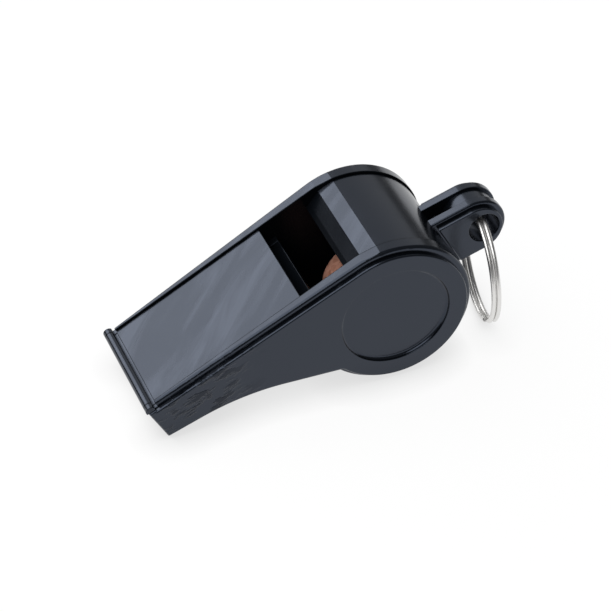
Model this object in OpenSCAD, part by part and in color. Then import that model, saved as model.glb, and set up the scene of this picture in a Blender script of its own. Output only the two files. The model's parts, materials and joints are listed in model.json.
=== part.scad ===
// Moulded sports whistle with a cork pea and a split ring
// The whistle stands on the bottom of its drum and on the lower edge of its mouthpiece.
// +X runs from the mouthpiece to the lug, +Y to the player's left, +Z up.

/* [Body] */
// Width of the body moulding, between the two covers
body_w = 14.9; // [13.9:0.1:22]
// Length of the roof plate, from the lip groove to the sound window
roof_len = 23.4; // [20:0.1:28]
// Thickness of the roof plate
roof_t = 1.1; // [0.8:0.1:1.6]
// Length of the nose in front of the roof plate
nose_len = 1.5; // [1.2:0.1:3]
// Depth of the mouthpiece at its front edge
mouth_h = 6.3; // [5.8:0.05:7.2]

/* [Windway] */
// Width of the windway between its side walls
windway_w = 12.7; // [9:0.1:12.9]
// Height of the windway at the mouth
windway_in_h = 3.4; // [2.8:0.1:3.8]
// Height of the windway where its end ramp starts
windway_mid_h = 2.4; // [2.1:0.1:2.8]
// Height of the windway where it meets the drum
windway_out_h = 1.6; // [1:0.1:2]
// Length of the ramp at the end of the windway floor
floor_ramp = 3; // [2:0.1:5]
// How far the windway floor runs on under the window
floor_lead = 1.25; // [0.4:0.05:1.6]

/* [Lip] */
// Radius of the bead across the mouthpiece
bead_r = 0.7; // [0.6:0.05:0.8]
// Distance of the bead's middle from the roof's front edge
bead_x = 1.05; // [0.95:0.05:1.15]
// Height of the bead's top above the roof plate
bead_rise = 0.5; // [0.3:0.05:0.7]
// Step from the side pads' faces in to the bead's ends
bead_inset = 0.3; // [0.1:0.05:0.6]
// Width of the groove between the bead and the roof plate
groove_w = 0.4; // [0.4:0.05:0.8]
// Depth of the groove below the roof plate
groove_d = 0.4; // [0.2:0.05:0.5]

/* [Belly] */
// Slope of the underside at the mouthpiece, in degrees
nose_slope = 6.4; // [4:0.1:9]
// Slope of the underside towards the drum, in degrees
belly_slope = 28.2; // [25:0.1:31]
// Distance from the roof's front edge to the start of the bend
bend_x = 3.5; // [2:0.1:5]
// Radius of the bend in the underside
bend_r = 31; // [20:0.5:36]
// Radius of the blend between underside and drum
waist_r = 0.8; // [0.5:0.1:2.5]

/* [Drum] */
// Outer radius of the drum wall
drum_r = 10.8; // [10.4:0.05:11.4]
// Distance from the roof's front edge to the drum's centre
drum_x = 31.85; // [31:0.05:33]
// Thickness of the drum wall
drum_wall = 1.7; // [1.2:0.1:2.2]

/* [Sound window] */
// Length of the sound window along the roof
window_len = 9.4; // [8:0.1:11]
// Length of the flat facet behind the window
facet_len = 2.4; // [1.5:0.1:3.5]
// Drop of the facet's front edge below the roof plate
facet_drop = 0.45; // [0.2:0.05:0.8]
// Thickness of the sharp lip at the foot of its sloped face
labium_t = 0.2; // [0.15:0.05:0.4]
// Length of the lip's sloped face in front of the facet
labium_len = 2.65; // [2:0.05:3.2]

/* [Side covers] */
// Height of the rails above the roof plate
rail_h = 0.35; // [0.2:0.05:0.5]
// Width of a rail at the roof's front edge
rail_w = 0.64; // [0.58:0.02:1]
// Angle at which each cover opens towards the drum, in degrees
cover_taper = 2; // [1:0.1:3]
// Radius of the rounding on the outer edge of the rails
rail_round = 0.5; // [0.2:0.05:0.55]
// Thickness of the raised pad on each cover
pad_t = 0.65; // [0.6:0.05:0.8]
// Step from the roof plate's level down to the pad's top edge
pad_drop = 0.6; // [0.5:0.05:0.9]
// Step from the cover's lower edge in to the pad's lower edge
pad_inset = 0.6; // [0.2:0.05:0.8]
// Radius of the sunken dish in the pad
dish_r = 7.6; // [6:0.1:8.5]
// Depth of the sunken dish
dish_d = 0.55; // [0.5:0.05:0.6]
// Radius of the cove between the dish's floor and its wall
dish_cove = 0.4; // [0.2:0.05:0.45]

/* [Lug] */
// Distance from the drum's centre to the middle of the lug's round end
lug_len = 15.6; // [15.2:0.05:18]
// Distance of the hole's middle out from the middle of the round end
hole_out = 0.8; // [0:0.05:0.9]
// Angle of the lug below the roof plate's line, in degrees
lug_angle = 10.5; // [0:0.5:20]
// Half the height of the lug's flanges
flange_r = 4.2; // [4:0.1:4.6]
// Width across both flanges
flange_w = 4.7; // [4:0.1:6]
// Width of the slot between the flanges
slot_w = 2.1; // [1.2:0.1:2.8]
// Half the height of the raised pads on the lug
lug_pad_r = 3.5; // [3.3:0.05:3.8]
// Width across the lug's pads
lug_pad_w = 6.2; // [5:0.1:7]
// Gap from the back of the drum to the lug's pads, along the roof
lug_pad_gap = 0.2; // [0.1:0.05:0.8]
// Radius of the boss that fills the end of the slot
boss_r = 3.8; // [3.2:0.1:3.9]
// Radius of the hole for the ring
hole_r = 2.2; // [2:0.05:2.6]

/* [Pea] */
// Diameter of the cork pea
pea_d = 12.5; // [10:0.1:13]
// Distance of the pea from the middle plane
pea_side = 0; // [-0.4:0.1:0.4]
// Clearance between the pea and the drum
pea_gap = 0.1; // [0.05:0.05:0.3]

/* [Split ring] */
// Outer diameter of the ring
ring_d = 16.6; // [15.6:0.1:16.8]
// Thickness of the wire, across the ring's plane
wire_t = 0.7; // [0.6:0.05:0.75]
// Distance between the middles of the two turns
turn_pitch = 1.15; // [1.15:0.05:1.3]
// Turn of the hanging ring about the upright, in degrees
ring_turn = 8; // [0:1:9]
// Distance of the ring's middle from the middle plane
ring_side = 2.2; // [0:0.1:2.3]
// Clearance between the wire and the hole
ring_gap = 0.08; // [0.05:0.01:0.2]

/* [Hidden] */
$fn = 96;

// Overrun of every cut past the face that it opens
over = 1;
// Depth to which a round blend bites into the faces that it joins
lap = 0.002;
plastic = [0.13, 0.14, 0.16];
cork = [0.66, 0.46, 0.34];
nickel = [0.86, 0.87, 0.89];

// Half the body's width, where the covers meet it
side_y = body_w / 2;
chamber_r = drum_r - drum_wall;
drum_c = [drum_x, -drum_r];
rim_r = drum_r + rail_h / 2;
rim_c = [drum_x, rail_h - rim_r];
mouth_corner = [-nose_len, -mouth_h];

// Pitch at which the whistle stands on its drum and mouthpiece
reach_v = rim_c - mouth_corner;
pitch = asin(rim_r / norm(reach_v)) - atan2(reach_v[1], reach_v[0]);

// Place in the standing frame of a point on the middle plane
function stand_x(p) = p[0] * cos(pitch) - p[1] * sin(pitch);
function stand_z(p) = p[0] * sin(pitch) + p[1] * cos(pitch);
function along(angle) = [cos(angle), sin(angle)];

bead_c = [-bead_x, bead_rise - bead_r];
bead_y = side_y + rail_w + pad_t - bead_inset;
lug_c = drum_c + lug_len * along(-lug_angle);
hole_c = drum_c + (lug_len + hole_out) * along(-lug_angle);
front_x = stand_x(bead_c) - bead_r;
back_x = stand_x(lug_c) + flange_r;
mid_x = (front_x + back_x) / 2;
floor_z = stand_z(rim_c) - rim_r;

module stand() {
    translate([-mid_x, 0, -floor_z]) rotate([0, -pitch, 0]) children();
}

// Extrudes a side view, drawn in X and Z, from one Y to another
module slab(y_low, y_high) {
    translate([0, y_high, 0]) rotate([90, 0, 0]) linear_extrude(y_high - y_low) children();
}

// Underside lines, moved in by an inset, as points and slopes
function nose_start(inset) = mouth_corner + inset * along(90 - nose_slope);
function bend_c() = [bend_x, -mouth_h - (bend_x + nose_len) * tan(nose_slope)]
    + bend_r * along(-90 - nose_slope);
function bend_at(slope, inset) = bend_c() + (bend_r + inset) * along(90 - slope);
function bend_corner(inset) = let (turn = (belly_slope - nose_slope) / 2)
    bend_at(nose_slope + turn, (bend_r + inset) / cos(turn) - bend_r);

// Wedge of the side view, from the nose to the middle of the drum
module wedge_view(top, inset, centre) {
    belly = along(-belly_slope);
    corner = bend_corner(inset);
    polygon([
        [-nose_len, top],
        [centre[0], top],
        centre,
        corner + belly * ((centre - corner) * belly),
        corner,
        [-nose_len, nose_start(inset)[1]]
    ]);
    difference() {
        polygon([bend_c(), bend_at(nose_slope, mouth_h / 2), bend_at(belly_slope, mouth_h / 2)]);
        translate(bend_c()) circle(r = bend_r + inset + lap);
    }
}

// Blend that fills the waist between the underside and the drum
module waist_view(inset, centre, radius) {
    belly = along(-belly_slope);
    down = along(-90 - belly_slope);
    blend_r = waist_r + inset;
    corner = bend_corner(inset);
    rel = centre - corner;
    run = sqrt(pow(radius + blend_r, 2) - pow(blend_r - rel * down, 2));
    blend_c = corner + belly * (rel * belly - run) + down * blend_r;
    to_drum = (centre - blend_c) / norm(centre - blend_c);
    difference() {
        polygon([blend_c, blend_c - down * blend_r, centre, blend_c + to_drum * blend_r]);
        translate(blend_c) circle(r = blend_r + lap);
    }
}

// Whole side view: top edge height and inset of the underside
module side_view(top, inset) {
    radius = drum_r + (top - inset) / 2;
    centre = [drum_x, top - radius];
    union() {
        wedge_view(top, inset, centre);
        waist_view(inset, centre, radius);
        translate(centre) circle(r = radius);
    }
}

// Passage from the mouth to the drum, open to the side covers
module windway_view() {
    floor_x = roof_len + floor_lead;
    mouth_x = -nose_len - over;
    ramp_x = floor_x - floor_ramp;
    rise = (windway_in_h - windway_mid_h) / (ramp_x + nose_len);
    polygon([
        [mouth_x, -roof_t],
        [floor_x, -roof_t],
        [floor_x, -roof_t - windway_out_h],
        [ramp_x, -roof_t - windway_mid_h],
        [mouth_x, -roof_t - windway_in_h - rise * over]
    ]);
}

// Height of a circle's upper side at a distance along the roof
function above(centre, radius, x) = centre[1] + sqrt(pow(radius, 2) - pow(x - centre[0], 2));

// Opening from the roof down into the drum, with the lip's sloped face
module window_view() {
    floor_x = roof_len + floor_lead;
    lip_x = roof_len + window_len;
    edge_x = lip_x - labium_len;
    polygon([
        [roof_len, over],
        [lip_x, over],
        [lip_x, -facet_drop],
        [edge_x, above(drum_c, chamber_r, edge_x) + labium_t],
        [edge_x, -drum_r],
        [floor_x, -drum_r],
        [floor_x, -roof_t - windway_out_h],
        [roof_len, -roof_t - windway_out_h]
    ]);
}

// Point past the end of a line, by the overrun
function run_on(from, to) = to + over * (to - from) / norm(to - from);

// Space above a flat face from one point to another, to cut that face
module flat_view(from, to) {
    start = run_on(to, from);
    end = run_on(from, to);
    polygon([start, end, [end[0], max(start[1], end[1]) + over], [start[0], max(start[1], end[1]) + over]]);
}

// Flat facet behind the window, cut into a crown of a given circle
module facet_view(front, centre, radius) {
    facet_x = roof_len + window_len + facet_len;
    flat_view(front, [facet_x, above(centre, radius, facet_x)]);
}

// Lug's side view from inside the drum's wall, drawn along +X from the drum's centre
module lug_view(radius) {
    difference() {
        union() {
            translate([0, -radius]) square([lug_len, 2 * radius]);
            translate([lug_len, 0]) circle(r = radius);
        }
        circle(r = (chamber_r + drum_r) / 2);
    }
}

// Flange on one side of the slot, and its raised pad, whose front end is square to the roof
module lug_flange(side) {
    slab(min(side * slot_w, side * flange_w) / 2, max(side * slot_w, side * flange_w) / 2)
        lug_view(flange_r);
    slab(min(side * slot_w, side * lug_pad_w) / 2, max(side * slot_w, side * lug_pad_w) / 2)
        intersection() {
            lug_view(lug_pad_r);
            rotate(lug_angle) translate([drum_r + lug_pad_gap, -lug_len]) square([lug_len, 2 * lug_len]);
        }
}

// Lug at the back of the drum
module lug() {
    translate([drum_c[0], 0, drum_c[1]]) rotate([0, lug_angle, 0]) difference() {
        union() {
            lug_flange(-1);
            lug_flange(1);
            slab(-slot_w / 2, slot_w / 2) translate([lug_len, 0]) circle(r = boss_r);
        }
        slab(-lug_pad_w / 2 - over, lug_pad_w / 2 + over)
            translate([lug_len + hole_out, 0]) circle(r = hole_r);
    }
}

// Bead across the mouthpiece, seated on both covers
module bead() {
    slab(-bead_y, bead_y) intersection() {
        translate(bead_c) circle(r = bead_r);
        translate([-bead_x - 2 * bead_r, -groove_d]) square([4 * bead_r, groove_d + 2 * bead_r]);
    }
}

module body() {
    color(plastic) stand() {
        difference() {
            union() {
                slab(-side_y, side_y) side_view(0, 0);
                bead();
            }
            slab(-windway_w / 2, windway_w / 2) windway_view();
            slab(-side_y - over, side_y + over) {
                window_view();
                facet_view([roof_len + window_len, -facet_drop], drum_c, drum_r);
                translate(drum_c) circle(r = chamber_r);
            }
            slab(-bead_y - over, bead_y + over)
                translate([-groove_w, -groove_d]) square([groove_w, groove_d + over]);
        }
        lug();
    }
}

// Section through the edge of a cover, its outer corner rounded at the origin's Y
module edge_view(depth, low, top) {
    translate([-depth, low]) square([depth - rail_round, top - low]);
    translate([-depth, low]) square([depth, top - rail_round - low]);
    translate([-rail_round, top - rail_round]) circle(r = rail_round);
}

// Turned disc or cut around an axis along Y, drawn outwards from the axis
module turned(centre, y) {
    translate([centre[0], y, centre[1]]) rotate([-90, 0, 0]) rotate_extrude() children();
}

// Rail and rim plate of a cover, its outer face on the plane y = 0
module cover_plate(depth) {
    slab(-depth, -rail_round) {
        wedge_view(rail_h, 0, rim_c);
        waist_view(0, rim_c, rim_r);
    }
    slab(-depth, 0) {
        wedge_view(rail_h - rail_round, 0, rim_c);
        waist_view(0, rim_c, rim_r - rail_round);
    }
    turned(rim_c, 0) mirror([1, -1, 0]) edge_view(depth, 0, rim_r);
    rotate([90, 0, 90]) linear_extrude(drum_x) edge_view(depth, -pad_drop, rail_h);
}

// Raised pad on the outer face of a cover, and the seat of the bead's end
module cover_pad() {
    slab(-rail_round, pad_t) {
        side_view(-pad_drop, pad_inset);
        translate([-nose_len, -2 * pad_drop]) square([nose_len - groove_w, 2 * pad_drop - groove_d]);
    }
}

// Round sunken dish with a cove around its floor
module dish() {
    turned([drum_x, -pad_drop - drum_r + (pad_drop + pad_inset) / 2], pad_t - dish_d) {
        square([dish_r - dish_cove, dish_d + over]);
        translate([0, dish_cove]) square([dish_r, dish_d - dish_cove + over]);
        translate([dish_r - dish_cove, dish_cove]) circle(r = dish_cove);
    }
}

// Cover for the player's left; the right one is its mirror image
module cover() {
    depth = rail_w + (drum_x + rim_r) * tan(cover_taper) + over;
    span = drum_x + rim_r + nose_len + 2 * over;
    lip_x = roof_len + window_len;
    difference() {
        translate([0, side_y + rail_w, 0]) rotate([0, 0, cover_taper]) difference() {
            union() {
                cover_plate(depth);
                cover_pad();
            }
            dish();
            slab(-depth - over, over) {
                facet_view([lip_x, above(rim_c, rim_r, lip_x)], rim_c, rim_r);
                translate([-nose_len - over, -groove_d]) square([nose_len + over, groove_d + rail_h + over]);
            }
        }
        translate([-nose_len - over, side_y - span, -span]) cube([span + over, span, 2 * span]);
    }
}

module left_cover() {
    color(plastic) stand() cover();
}

module right_cover() {
    color(plastic) stand() mirror([0, 1, 0]) cover();
}

module pea() {
    drop = chamber_r - pea_d / 2 - pea_gap;
    color(cork) translate([stand_x(drum_c) - mid_x, pea_side, stand_z(drum_c) - floor_z - drop])
        sphere(d = pea_d);
}

// Two-turn wire: one unbroken tube that steps across from one turn to the other
ring_rings = 24;
ring_sides = 6;
wire_w = wire_t / cos(180 / ring_sides);
ring_r = (ring_d - wire_w) / 2;
step_angle = 30;
ring_span = 720 - step_angle;
ring_steps = ring_rings * ring_span / 360;
function turn_side(a) = a < ring_span / 2 - step_angle / 2 ? -1
    : a > ring_span / 2 + step_angle / 2 ? 1
    : sin(180 * (a - ring_span / 2) / step_angle);
function wire_point(a, k) = let (
        edge = 360 * (k + 0.5) / ring_sides,
        radius = ring_r + wire_w / 2 * sin(edge),
        out = turn_side(a) * turn_pitch / 2 + wire_w / 2 * cos(edge),
        spot = a - ring_span / 2 - 90)
    [out, radius * cos(spot), radius * sin(spot)];
ring_points = [for (i = [0:ring_steps]) for (k = [0:ring_sides - 1])
    wire_point(i * 360 / ring_rings, k)];
function cell(i, k) = i * ring_sides + k % ring_sides;
ring_faces = concat(
    [for (k = [1:ring_sides - 2]) [0, k + 1, k]],
    [for (i = [0:ring_steps - 1]) for (k = [0:ring_sides - 1])
        [cell(i, k), cell(i, k + 1), cell(i + 1, k)]],
    [for (i = [0:ring_steps - 1]) for (k = [0:ring_sides - 1])
        [cell(i, k + 1), cell(i + 1, k + 1), cell(i + 1, k)]],
    [for (k = [1:ring_sides - 2])
        [cell(ring_steps, 0), cell(ring_steps, k), cell(ring_steps, k + 1)]]
);
turn_gap = min([for (i = [0:ring_steps - ring_rings / 2]) for (j = [i + ring_rings / 2:ring_steps])
    for (k = [0:ring_sides - 1]) for (m = [0:ring_sides - 1])
        norm(ring_points[cell(i, k)] - ring_points[cell(j, m)])]);
echo(least_gap_between_turns = turn_gap);

// Drop of the ring's centre below the hole's centre, where the turns rest in the hole
pack = (turn_pitch + wire_t) / 2;
half_lug = lug_pad_w / 2;
ledge = sqrt(pow(hole_r - ring_gap, 2) - pow(pack / cos(ring_turn) + half_lug * tan(ring_turn), 2));
reach = half_lug / cos(ring_turn) + pack * tan(ring_turn) + ring_side;
ring_drop = ledge + sqrt(pow(ring_d / 2 - wire_w, 2) - pow(reach, 2));

module split_ring() {
    color(nickel) translate([stand_x(hole_c) - mid_x, 0, stand_z(hole_c) - floor_z - ring_drop])
        rotate([0, 0, -ring_turn]) translate([0, -ring_side, 0]) polyhedron(ring_points, ring_faces);
}

body();
left_cover();
right_cover();
pea();
split_ring();
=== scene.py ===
import json
import math

import bmesh
import bpy
from mathutils import Matrix, Vector, noise
from mathutils.bvhtree import BVHTree
from mathutils.interpolate import poly_3d_calc


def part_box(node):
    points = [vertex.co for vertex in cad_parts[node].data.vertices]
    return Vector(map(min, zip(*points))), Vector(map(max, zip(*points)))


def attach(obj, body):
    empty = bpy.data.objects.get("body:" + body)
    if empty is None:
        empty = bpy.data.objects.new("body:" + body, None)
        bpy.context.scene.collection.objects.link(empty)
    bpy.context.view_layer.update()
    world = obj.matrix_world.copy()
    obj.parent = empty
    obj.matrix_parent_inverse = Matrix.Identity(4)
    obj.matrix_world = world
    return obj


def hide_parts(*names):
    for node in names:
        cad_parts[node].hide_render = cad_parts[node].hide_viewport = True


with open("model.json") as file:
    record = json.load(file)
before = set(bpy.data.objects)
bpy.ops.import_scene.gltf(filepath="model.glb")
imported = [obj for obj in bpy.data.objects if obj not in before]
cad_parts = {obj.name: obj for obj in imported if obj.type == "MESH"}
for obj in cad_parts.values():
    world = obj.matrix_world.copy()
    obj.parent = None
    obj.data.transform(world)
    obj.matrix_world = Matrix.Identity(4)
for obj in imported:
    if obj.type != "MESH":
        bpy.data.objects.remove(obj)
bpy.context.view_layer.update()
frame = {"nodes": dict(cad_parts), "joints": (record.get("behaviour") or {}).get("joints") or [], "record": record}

mm = 0.001
mounts = {m["name"]: m for m in frame["record"]["mounts"]}
joints = {j["name"]: j for j in frame["joints"]}

# The roof's own directions: along it to the drum, and square to it, upwards
along = -Vector(mounts["mouth"]["axis"]).normalized()
square = Vector((-along.z, 0, along.x))

# A point on the drum's axis, the axis itself, and how far the covers are from the middle plane
drum = Vector(joints["pea_orbit"]["pos_m"])
drum_axis = Vector(joints["pea_orbit"]["axis"])
cover_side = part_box("left_cover")[0].y

# Sizes of the solids that the frame doesn't name: the roof's height over the drum's axis, half the
# widths across the lug's flanges and across its pads, and a radius outside the covers' dishes
roof_height = 10.8 * mm
flange_side = 2.35 * mm
lug_pad_side = 3.1 * mm
dish_reach = 8.3 * mm


# Helpers

def colour(hex_code):
    """A colour written as sRGB hex, as the linear colour that a shader socket takes."""
    parts = [int(hex_code[i:i + 2], 16) / 255 for i in (0, 2, 4)]
    linear = [c / 12.92 if c <= 0.04045 else ((c + 0.055) / 1.055) ** 2.4 for c in parts]
    return (*linear, 1)


def add(tree, kind, inputs=(), **settings):
    """Adds a node with its settings, and sets or links its inputs."""
    made = tree.nodes.new(kind)
    for name, value in settings.items():
        setattr(made, name, value)
    for socket, value in dict(inputs).items():
        if isinstance(value, bpy.types.NodeSocket):
            tree.links.new(value, made.inputs[socket])
        else:
            made.inputs[socket].default_value = value
    return made


def new_material(name):
    """Makes a material with an empty node tree."""
    material = bpy.data.materials.new(name)
    material.use_nodes = True
    material.node_tree.nodes.clear()
    return material, material.node_tree


def new_object(name, mesh, material):
    """Makes an object of a bmesh, at the origin, with one material."""
    data = bpy.data.meshes.new(name)
    mesh.to_mesh(data)
    mesh.free()
    data.materials.append(material)
    made = bpy.data.objects.new(name, data)
    bpy.context.scene.collection.objects.link(made)
    return made


def new_piece(name, mesh, material, body, slot, *nodes):
    """Makes a smooth piece of a bmesh, gives it its body and finish, and hides what it stands for."""
    piece = new_object(name, mesh, material)
    piece.data.shade_smooth()
    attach(piece, body)
    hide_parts(*nodes)
    return piece


# Materials

def gloss_black_abs():
    """ABS from a polished mould: near black with a blue cast and a deep gloss.

    Pale streaks on the roof are partly fine dust and partly painted reflection, teeth have marked the
    sides of the mouthpiece, shade is painted into the joints of the covers, and the inside is left matt.
    """
    material, tree = new_material("gloss_black_moulded_abs")
    place = add(tree, "ShaderNodeTexCoord").outputs["Object"]
    parts = add(tree, "ShaderNodeSeparateXYZ", {"Vector": place}).outputs
    sideways = add(tree, "ShaderNodeMath", {0: parts["Y"]}, operation="ABSOLUTE").outputs[0]

    # pale streaks 15 mm long and 3 mm wide, askew by 38 degrees: partly dust, partly painted reflection
    drawn = add(tree, "ShaderNodeMapping",
                {"Vector": place, "Rotation": (0, 0, math.radians(38)),
                 "Scale": (15 * mm, 3 * mm, 15 * mm)}, vector_type="TEXTURE")
    streaks = add(tree, "ShaderNodeTexNoise",
                  {"Vector": drawn.outputs["Vector"], "Scale": 1, "Detail": 3, "Distortion": 0.6})
    streaks = add(tree, "ShaderNodeMapRange",
                  {"Value": streaks.outputs["Fac"], "From Min": 0.44, "From Max": 0.66})

    # the streaks lie only on faces within about 14 degrees of the roof's direction
    facing = add(tree, "ShaderNodeNewGeometry").outputs["Normal"]
    facing = add(tree, "ShaderNodeVectorMath", {0: facing, 1: square}, operation="DOT_PRODUCT")
    facing = add(tree, "ShaderNodeMapRange",
                 {"Value": facing.outputs["Value"], "From Min": 0.97, "From Max": 1})
    # paler colour that is partly dust and partly a painted reflection, on the roof's faces only
    dust_and_painted_sheen = add(tree, "ShaderNodeMath",
               {0: facing.outputs["Result"], 1: streaks.outputs["Result"]}, operation="MULTIPLY")

    # sockets 6 and 7 of this node are its two colours, and output 2 is the mixed one
    tint = add(tree, "ShaderNodeMix",
               {"Factor": dust_and_painted_sheen.outputs[0], 6: colour("0a0d11"), 7: colour("383c44")},
               data_type="RGBA").outputs[2]

    # haze of handling in patches about 6 mm across
    haze = add(tree, "ShaderNodeTexNoise",
               {"Vector": place, "Scale": 1 / (5.88 * mm), "Detail": 4, "Roughness": 0.6})
    rough = add(tree, "ShaderNodeMapRange",
                {"Value": haze.outputs["Fac"], "From Min": 0.3, "From Max": 0.75,
                 "To Min": 0.16, "To Max": 0.26}).outputs["Result"]

    # distance from the drum's axis, height over it and way along the roof from it
    from_axis = add(tree, "ShaderNodeVectorMath", {0: place, 1: drum}, operation="SUBTRACT")
    from_axis = add(tree, "ShaderNodeVectorMath",
                    {0: from_axis.outputs["Vector"], 1: (1, 0, 1)}, operation="MULTIPLY")
    from_axis = from_axis.outputs["Vector"]
    reach = add(tree, "ShaderNodeVectorMath", {0: from_axis}, operation="LENGTH")
    height = add(tree, "ShaderNodeVectorMath", {0: from_axis, 1: square}, operation="DOT_PRODUCT")
    travel = add(tree, "ShaderNodeVectorMath", {0: from_axis, 1: along}, operation="DOT_PRODUCT")

    # inside the drum: as far out as just past its inner wall
    in_drum = add(tree, "ShaderNodeMath",
                  {0: reach.outputs["Value"], 1: 9.3 * mm}, operation="LESS_THAN")

    # inside the windway: a layer from within the roof plate to under the windway's floor, in front
    windway_middle = roof_height - 3.05 * mm
    windway_half = 2.45 * mm
    in_layer = add(tree, "ShaderNodeMath",
                   {0: height.outputs["Value"], 1: windway_middle, 2: windway_half},
                   operation="COMPARE")
    in_front = add(tree, "ShaderNodeMath",
                   {0: travel.outputs["Value"], 1: -1 * mm}, operation="LESS_THAN")
    in_windway = add(tree, "ShaderNodeMath",
                     {0: in_layer.outputs[0], 1: in_front.outputs[0]}, operation="MULTIPLY")

    # and neither reaches the outside of the covers
    between = add(tree, "ShaderNodeMath",
                  {0: sideways, 1: cover_side + 0.75 * mm}, operation="LESS_THAN")
    inside = add(tree, "ShaderNodeMath",
                 {0: in_drum.outputs[0], 1: in_windway.outputs[0]}, operation="MAXIMUM")
    inside = add(tree, "ShaderNodeMath",
                 {0: inside.outputs[0], 1: between.outputs[0]}, operation="MULTIPLY")

    # painted shade in the joint between the body and each cover: less shine on a line 0.22 mm wide
    joint = add(tree, "ShaderNodeMath",
                {0: sideways, 1: cover_side + 0.04 * mm, 2: 0.11 * mm}, operation="COMPARE")

    # unevenness of the moulded surface, in waves about 1.5 mm long
    waves = add(tree, "ShaderNodeTexNoise",
                {"Vector": place, "Scale": 1 / (1.538 * mm), "Detail": 2})
    bump = add(tree, "ShaderNodeBump",
               {"Height": waves.outputs["Fac"], "Strength": 0.05, "Distance": 0.05 * mm})

    # bites of teeth 2.6 mm long and 0.9 mm high, which fade in towards the mouth and the outside
    lengthwise = add(tree, "ShaderNodeMapping",
                     {"Vector": place, "Rotation": (0, -math.asin(along.z), 0),
                      "Scale": (2.6 * mm, 2.6 * mm, 0.9 * mm)}, vector_type="TEXTURE")
    bites = add(tree, "ShaderNodeTexNoise",
                {"Vector": lengthwise.outputs["Vector"], "Scale": 1, "Detail": 4, "Roughness": 0.6})
    bites = add(tree, "ShaderNodeMapRange",
                {"Value": bites.outputs["Fac"], "From Min": 0.5, "From Max": 0.6})
    mouthwards = add(tree, "ShaderNodeMapRange",
                     {"Value": parts["X"], "From Min": -10 * mm, "From Max": -17 * mm})
    outwards = add(tree, "ShaderNodeMapRange",
                   {"Value": sideways, "From Min": 8 * mm, "From Max": 9 * mm})
    held = add(tree, "ShaderNodeMath",
               {0: mouthwards.outputs["Result"], 1: outwards.outputs["Result"]}, operation="MULTIPLY")
    marks = add(tree, "ShaderNodeMath",
                {0: held.outputs[0], 1: bites.outputs["Result"]}, operation="MULTIPLY").outputs[0]
    bump = add(tree, "ShaderNodeBump",
               {"Height": marks, "Strength": 0.6, "Distance": 0.12 * mm,
                "Normal": bump.outputs["Normal"]})

    # less shine inside, painted shade in the joints, and half that loss in the marks
    dull = add(tree, "ShaderNodeMath",
               {0: inside.outputs[0], 1: joint.outputs[0]}, operation="MAXIMUM")
    half_marks = add(tree, "ShaderNodeMath", {0: marks, 1: 0.5}, operation="MULTIPLY")
    dull = add(tree, "ShaderNodeMath",
               {0: dull.outputs[0], 1: half_marks.outputs[0]}, operation="MAXIMUM")
    shine = add(tree, "ShaderNodeMapRange",
                {"Value": dull.outputs[0], "To Min": 0.5, "To Max": 0.1}).outputs["Result"]

    shader = add(tree, "ShaderNodeBsdfPrincipled",
                 {"Base Color": tint, "Roughness": rough, "IOR": 1.6,
                  "Specular Tint": colour("d3e2ff"), "Specular IOR Level": shine,
                  "Normal": bump.outputs["Normal"]})
    add(tree, "ShaderNodeOutputMaterial", {"Surface": shader.outputs["BSDF"]})
    return material


def bare_cork():
    """Turned natural cork: warm brown, quite matt, in grains that each have their own shade."""
    material, tree = new_material("turned_natural_cork")
    place = add(tree, "ShaderNodeTexCoord").outputs["Object"]

    # grains about 0.8 mm across, parted by shallow grooves
    grains = add(tree, "ShaderNodeTexVoronoi", {"Vector": place, "Scale": 1 / (0.833 * mm)})
    tint = add(tree, "ShaderNodeValToRGB", {"Fac": grains.outputs["Color"]})
    tint.color_ramp.elements[0].color = colour("8a5a46")
    tint.color_ramp.elements[1].color = colour("b98672")
    bump = add(tree, "ShaderNodeBump",
               {"Height": grains.outputs["Distance"], "Strength": 0.4, "Distance": 0.2 * mm})

    shader = add(tree, "ShaderNodeBsdfPrincipled",
                 {"Base Color": tint.outputs["Color"], "Roughness": 0.85,
                  "Normal": bump.outputs["Normal"]})
    add(tree, "ShaderNodeOutputMaterial", {"Surface": shader.outputs["BSDF"]})
    return material


def nickel_plate():
    """Bright nickel on drawn steel wire: a warm white mirror, clouded by fingers."""
    material, tree = new_material("nickel_plated_steel_wire")
    place = add(tree, "ShaderNodeTexCoord").outputs["Object"]

    # clouding in patches about 1.1 mm across
    cloud = add(tree, "ShaderNodeTexNoise", {"Vector": place, "Scale": 1 / (1.11 * mm), "Detail": 3})
    rough = add(tree, "ShaderNodeMapRange",
                {"Value": cloud.outputs["Fac"], "To Min": 0.27, "To Max": 0.44})

    shader = add(tree, "ShaderNodeBsdfPrincipled",
                 {"Base Color": colour("e6e5e3"), "Metallic": 1, "Roughness": rough.outputs["Result"]})
    add(tree, "ShaderNodeOutputMaterial", {"Surface": shader.outputs["BSDF"]})
    return material


black = gloss_black_abs()
cork = bare_cork()
nickel = nickel_plate()


# Mouldings: each starts from its solid, merged, with flats made one face and edges rounded

def rounded_copy(node, roundings):
    """Merged copy of a solid with outer edges rounded: each rounding is a radius and a test of an edge."""
    mesh = bmesh.new()
    mesh.from_mesh(frame["nodes"][node].data)
    bmesh.ops.remove_doubles(mesh, verts=mesh.verts, dist=0.0001 * mm)
    bmesh.ops.dissolve_limit(mesh, angle_limit=math.radians(0.3), verts=mesh.verts, edges=mesh.edges)
    mark = mesh.faces.layers.int.new("rounding")
    for radius, test in roundings:
        sharp = [e for e in mesh.edges if len(e.link_faces) == 2 and e.is_convex
                 and e.calc_face_angle() > math.radians(30)
                 and not any(f[mark] for f in e.link_faces) and test(e)]
        made = bmesh.ops.bevel(mesh, geom=sharp, offset=radius, offset_type="OFFSET", affect="EDGES",
                               segments=3, profile=0.5, material=-1, clamp_overlap=False,
                               miter_outer="ARC")
        for face in made["faces"]:
            face[mark] = 1
    return mesh


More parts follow.
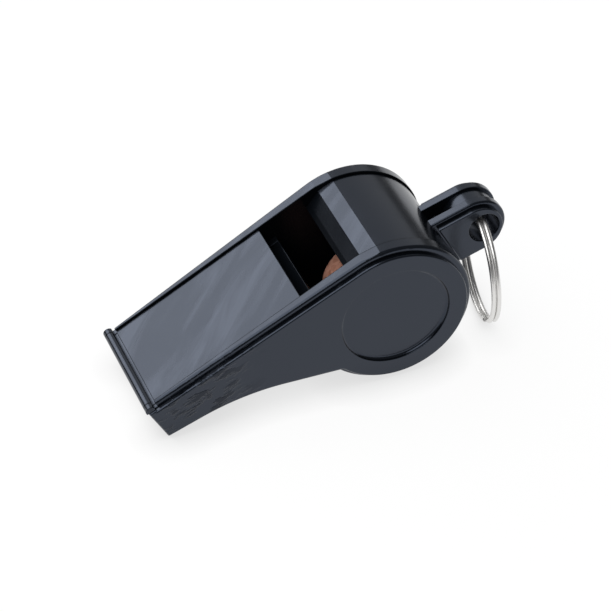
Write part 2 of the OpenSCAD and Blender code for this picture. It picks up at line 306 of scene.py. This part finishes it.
def true_normals(piece, node):
    """Shades a rounded copy by the solid's own normals, so that creases stay crisp and curves even.

    A face of a rounding has no face of the solid under it. Its corners take the normals of the flat
    faces beside them, or of the rounding itself where none of these is near in direction.
    """
    # the angles in radians up to which a normal counts as that of a face, and one past them all
    same_face = 0.3
    same_corner = 0.7
    same_bend = 1
    no_angle = 9
    # the share of the way to the face's middle at which a corner is looked up on the solid
    inset = 0.02

    data = piece.data
    solid = frame["nodes"][node].data
    points = [v.co for v in solid.vertices]
    corners = [c.vector for c in solid.corner_normals]
    tree = BVHTree.FromPolygons(points, [p.vertices for p in solid.polygons])
    marks = [m.value for m in data.attributes["rounding"].data]
    normals = [None] * len(data.loops)
    beside = {}
    rounded = {}
    for face in data.polygons:
        for loop in face.loop_indices:
            vertex = data.loops[loop].vertex_index
            if marks[face.index]:
                rounded.setdefault(vertex, []).append(face)
                continue
            corner = data.vertices[vertex].co.lerp(face.center, inset)
            found, _, index, _ = tree.find_nearest(corner)
            triangle = solid.polygons[index]
            shares = poly_3d_calc([points[i] for i in triangle.vertices], found)
            weighted = [corners[i] * s for i, s in zip(triangle.loop_indices, shares)]
            normal = sum(weighted, Vector()).normalized()
            if normal.angle(face.normal, no_angle) >= same_face:
                normal = face.normal.copy()
            normals[loop] = normal
            beside.setdefault(vertex, []).append(normal)
    for face in data.polygons:
        if not marks[face.index]:
            continue
        for loop in face.loop_indices:
            vertex = data.loops[loop].vertex_index
            near = [n for n in beside.get(vertex, ())
                    if n.angle(face.normal, no_angle) < same_corner]
            if not near:
                near = [f.normal * f.area for f in rounded[vertex]
                        if f.normal.angle(face.normal, no_angle) < same_bend]
            normals[loop] = sum(near, Vector()).normalized()
    data.normals_split_custom_set(normals)


def everywhere(edge):
    """Passes every edge."""
    return True


def apart(gap):
    """Tests for edges that lie in either of two planes, each this far from the middle plane."""
    return lambda edge: all(abs(abs(v.co.y) - gap) < 0.01 * mm for v in edge.verts)


def on_pad(mount):
    """Tests for edges that lie in the face of a cover's pad, away from its dish."""
    point = Vector(mount["pos_m"])
    axis = Vector(mount["axis"])

    def test(edge):
        in_face = all(abs((point - v.co).dot(axis)) < 0.02 * mm for v in edge.verts)
        return in_face and all((v.co - drum).cross(drum_axis).length > dish_reach for v in edge.verts)

    return test


body_roundings = [
    (0.35 * mm, apart(flange_side)),
    (0.16 * mm, apart(lug_pad_side)),
    (0.1 * mm, everywhere),
]
body = new_piece("body_moulding", rounded_copy("body", body_roundings),
                 black, "whistle", "black_plastic", "body")
true_normals(body, "body")

for side in ("left", "right"):
    cover_roundings = [
        (0.28 * mm, on_pad(mounts[f"{side}_side"])),
        (0.1 * mm, everywhere),
    ]
    cover = new_piece(f"{side}_cover_moulding", rounded_copy(f"{side}_cover", cover_roundings),
                      black, "whistle", "black_plastic", f"{side}_cover")
    true_normals(cover, f"{side}_cover")


# Pea: a ball of turned cork, a little uneven, with grain and open pits

def cork_ball():
    """Ball whose surface is sunk a little, so that its bumps stay inside the solid's ball."""
    low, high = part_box("pea")
    middle = (low + high) / 2
    radius = (high.z - low.z) / 2
    sunk = 0.1
    pit_place = Vector((3, 1, 7))
    mesh = bmesh.new()
    bmesh.ops.create_icosphere(mesh, subdivisions=7, radius=radius)
    for vertex in mesh.verts:
        # waves 2 mm long and 0.06 mm high, and grain 0.45 mm long and 0.035 mm high
        spot = vertex.co / mm
        grain = noise.noise(spot * 2.2) * 0.035 + noise.noise(spot * 0.5) * 0.06
        # pits 2 mm apart across and 0.7 mm apart upwards, up to 0.24 mm deep
        pit_spot = Vector((spot.x * 0.5, spot.y * 0.5, spot.z * 1.4)) + pit_place
        pit = max(0, 0.22 - noise.voronoi(pit_spot)[0][0]) * 1.1
        vertex.co = middle + vertex.co.normalized() * (radius - (sunk + grain + pit) * mm)
    return mesh


new_piece("cork_pea", cork_ball(), cork, "pea", "cork", "pea")


# Split ring: two close turns of round wire, joined by a short step across

def split_ring():
    """Wire spun round the ring's axis: one turn, the step to the other side, and the other turn."""
    wire = 0.66 * mm
    pitch = 0.7 * mm
    end_chamfer = 0.1 * mm
    # in degrees: each turn, the step across, and how far from the ring's lowest point the wire starts
    turn_angle = 342
    turn_steps = 114
    cross_angle = 18
    cross_steps = 6
    from_lowest = -30

    low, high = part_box("split_ring")
    middle = (low + high) / 2
    radius = (high.z - low.z - wire) / 2
    axis = Vector(mounts["lanyard"]["axis"]).normalized()
    out = Matrix.Rotation(math.radians(from_lowest), 3, axis) @ Vector((0, 0, -1))
    start = middle + out * radius - axis * pitch / 2
    turned = Matrix((axis, out, axis.cross(out))).transposed().to_4x4()
    mesh = bmesh.new()
    bmesh.ops.create_circle(mesh, cap_ends=False, segments=16, radius=wire / 2,
                            matrix=Matrix.Translation(start) @ turned)
    first_edges = mesh.edges[:]
    last = mesh.verts[:] + first_edges

    def turn(geometry, angle, steps, sideways=0):
        """Spins the last section on round the ring, and moves it along the ring's axis."""
        made = bmesh.ops.spin(mesh, geom=geometry, cent=middle, axis=axis, dvec=axis * sideways,
                              steps=steps, angle=math.radians(angle))
        return made["geom_last"]

    last = turn(last, turn_angle, turn_steps)
    for step in range(cross_steps):
        before = math.cos(math.pi * step / cross_steps)
        after = math.cos(math.pi * (step + 1) / cross_steps)
        last = turn(last, cross_angle / cross_steps, 1, pitch * (before - after) / 2)
    last = turn(last, turn_angle, turn_steps)
    last_edges = [g for g in last if isinstance(g, bmesh.types.BMEdge)]
    ends = [bmesh.ops.edgeloop_fill(mesh, edges=loop)["faces"][0] for loop in (first_edges, last_edges)]
    rims = [e for f in ends for e in f.edges]
    bmesh.ops.bevel(mesh, geom=rims, offset=end_chamfer, offset_type="OFFSET", affect="EDGES",
                    segments=2, profile=0.5, material=-1)
    bmesh.ops.recalc_face_normals(mesh, faces=mesh.faces)
    return mesh


ring = new_piece("split_ring_wire", split_ring(), nickel, "ring", "nickel", "split_ring")
ring.data.set_sharp_from_angle(angle=math.radians(50))


# Floor, world, lamps and camera

def pale_floor():
    """Matt floor that looks white as the backdrop, with a narrow soft shadow close to the whistle."""
    material, tree = new_material("pale_floor")
    rays = add(tree, "ShaderNodeLightPath").outputs
    shown = add(tree, "ShaderNodeMath",
                {0: rays["Is Camera Ray"], 1: rays["Is Glossy Ray"]}, operation="MAXIMUM")
    shown = add(tree, "ShaderNodeMath",
                {0: shown.outputs[0], 1: rays["Is Transmission Ray"]}, operation="MAXIMUM")
    open_sky = add(tree, "ShaderNodeAmbientOcclusion", {"Distance": 5 * mm}, samples=16)
    level = add(tree, "ShaderNodeMapRange",
                {"Value": open_sky.outputs["AO"], "From Min": 0.4, "From Max": 1,
                 "To Min": 0.72, "To Max": 0.935})
    level = add(tree, "ShaderNodeMath",
                {0: shown.outputs[0], 1: level.outputs["Result"]}, operation="MULTIPLY")
    glow = add(tree, "ShaderNodeEmission", {"Color": colour("ffffff"), "Strength": level.outputs[0]})
    paint = add(tree, "ShaderNodeBsdfDiffuse", {"Color": colour("505050")})
    both = add(tree, "ShaderNodeAddShader", {0: paint.outputs[0], 1: glow.outputs[0]})
    add(tree, "ShaderNodeOutputMaterial", {"Surface": both.outputs[0]})
    return material


def plain_floor():
    """Square floor under the whistle, 6 m wide."""
    mesh = bmesh.new()
    bmesh.ops.create_grid(mesh, x_segments=1, y_segments=1, size=3)
    new_object("floor", mesh, pale_floor())


def studio_world():
    """Dim even light on the whistle, and a white backdrop to the camera."""
    world = bpy.data.worlds.new("studio")
    bpy.context.scene.world = world
    world.use_nodes = True
    tree = world.node_tree
    tree.nodes.clear()
    rays = add(tree, "ShaderNodeLightPath").outputs
    dim = add(tree, "ShaderNodeBackground", {"Color": colour("ffffff"), "Strength": 0.15})
    white = add(tree, "ShaderNodeBackground", {"Color": colour("ffffff"), "Strength": 1})
    mixed = add(tree, "ShaderNodeMixShader",
                {0: rays["Is Camera Ray"], 1: dim.outputs[0], 2: white.outputs[0]})
    add(tree, "ShaderNodeOutputWorld", {"Surface": mixed.outputs[0]})


def lamp(name, direction, distance, width, height, power, up=(0, 1, 0)):
    """Soft panel that faces the whistle, its height turned towards up: metres and watts."""
    data = bpy.data.lights.new(name, "AREA")
    data.shape = "RECTANGLE"
    data.size = width
    data.size_y = height
    data.energy = power
    made = bpy.data.objects.new(name, data)
    bpy.context.scene.collection.objects.link(made)
    back = Vector(direction).normalized()
    right = Vector(up).cross(back).normalized()
    turned = Matrix((right, back.cross(right), back)).transposed().to_4x4()
    made.matrix_world = Matrix.Translation(back * distance) @ turned


plain_floor()
studio_world()
lamp("overhead_tent", direction=(-0.5, 0.3, 0.866), distance=0.63, width=0.6, height=1.7, power=6.9)
lamp("back_panel", direction=(0.15, 0.75, 0.65), distance=0.7, width=1.1, height=0.6, power=1,
     up=(0, 0, 1))

# Camera as fitted to the photo: its lens, its own directions and its place
camera_data = bpy.data.cameras.new("camera")
camera_data.lens = 184.37
camera_data.sensor_width = 36
camera_data.clip_start = 0.01
camera_data.clip_end = 10
camera = bpy.data.objects.new("camera", camera_data)
bpy.context.scene.collection.objects.link(camera)
camera_right = Vector((0.925856, -0.376241, -0.035118))
camera_up = Vector((0.274776, 0.606535, 0.746065))
camera_back = Vector((-0.2594, -0.700398, 0.664946))
camera_place = Vector((-109.642, -292.907, 286.03)) * mm
camera_turn = Matrix((camera_right, camera_up, camera_back)).transposed().to_4x4()
camera.matrix_world = Matrix.Translation(camera_place) @ camera_turn
bpy.context.scene.camera = camera
bpy.context.scene.view_settings.view_transform = "Standard"
